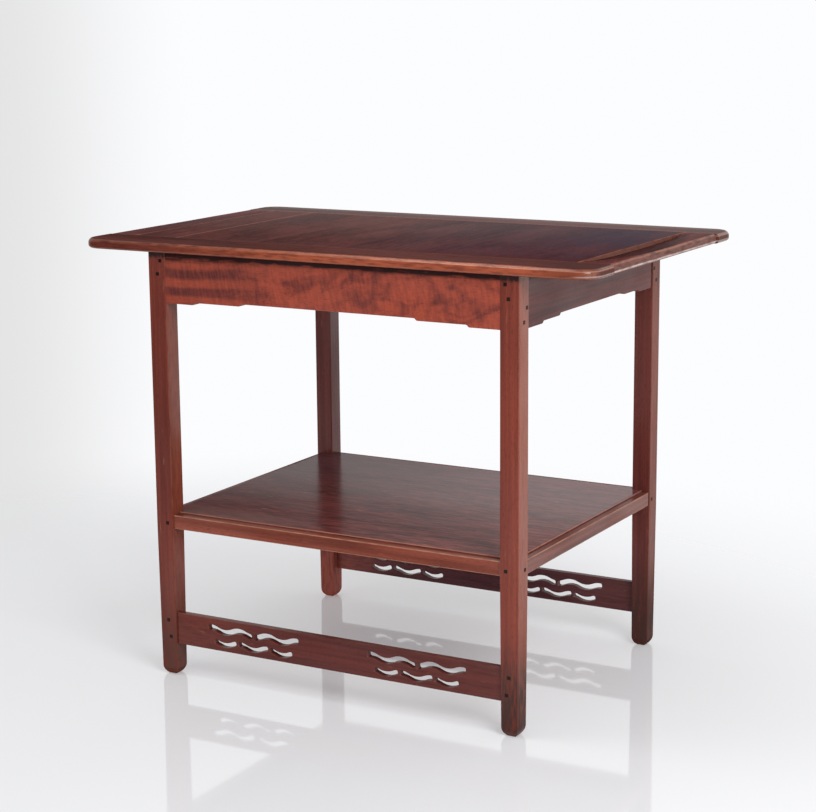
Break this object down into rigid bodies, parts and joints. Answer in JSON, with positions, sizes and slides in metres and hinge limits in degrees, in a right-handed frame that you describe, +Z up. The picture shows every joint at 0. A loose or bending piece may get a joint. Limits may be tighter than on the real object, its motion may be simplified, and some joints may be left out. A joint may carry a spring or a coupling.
{
  "type": "serving table",
  "caption": "Serving table with an overhanging board top held between long cleats, hand scoops at both ends, a pegged frame, a low shelf and stretchers pierced with waves.",
  "frame": {"origin": "on the floor under the middle of the table", "axes": "+X to the right along the length, +Y to the back, +Z up"},
  "size_m": [0.9268, 0.573, 0.737],
  "materials": {
    "top_mahogany": "polished, dark",
    "shelf_mahogany": "polished, dark",
    "frame_mahogany": "oiled, semi-gloss",
    "figured_mahogany": "oiled, semi-gloss, ripple figure",
    "ebony": "polished",
    "button_wood": "bare",
    "screw_brass": "dull"
  },
  "bodies": {
    "root": {"top_board_1": "top_mahogany", "top_board_2": "top_mahogany", "top_board_3": "top_mahogany", "top_board_4": "top_mahogany", "top_board_5": "top_mahogany", "top_board_6": "top_mahogany", "top_end_board_left": "top_mahogany", "top_end_board_right": "top_mahogany", "top_cleat_front": "top_mahogany", "top_cleat_back": "top_mahogany", "leg_front_left": "frame_mahogany", "leg_front_right": "frame_mahogany", "leg_back_left": "frame_mahogany", "leg_back_right": "frame_mahogany", "apron_front": "figured_mahogany", "apron_back": "figured_mahogany", "apron_left": "figured_mahogany", "apron_right": "figured_mahogany", "shelf_rail_front": "frame_mahogany", "shelf_rail_back": "frame_mahogany", "shelf_rail_left": "frame_mahogany", "shelf_rail_right": "frame_mahogany", "shelf_board_1": "shelf_mahogany", "shelf_board_2": "shelf_mahogany", "shelf_board_3": "shelf_mahogany", "stretcher_front": "frame_mahogany", "stretcher_back": "frame_mahogany", "apron_pegs": "ebony", "shelf_pegs": "ebony", "stretcher_pegs": "ebony", "top_buttons": "button_wood", "button_screws": "screw_brass", "shelf_screws": "screw_brass"}
  },
  "joints": []
}
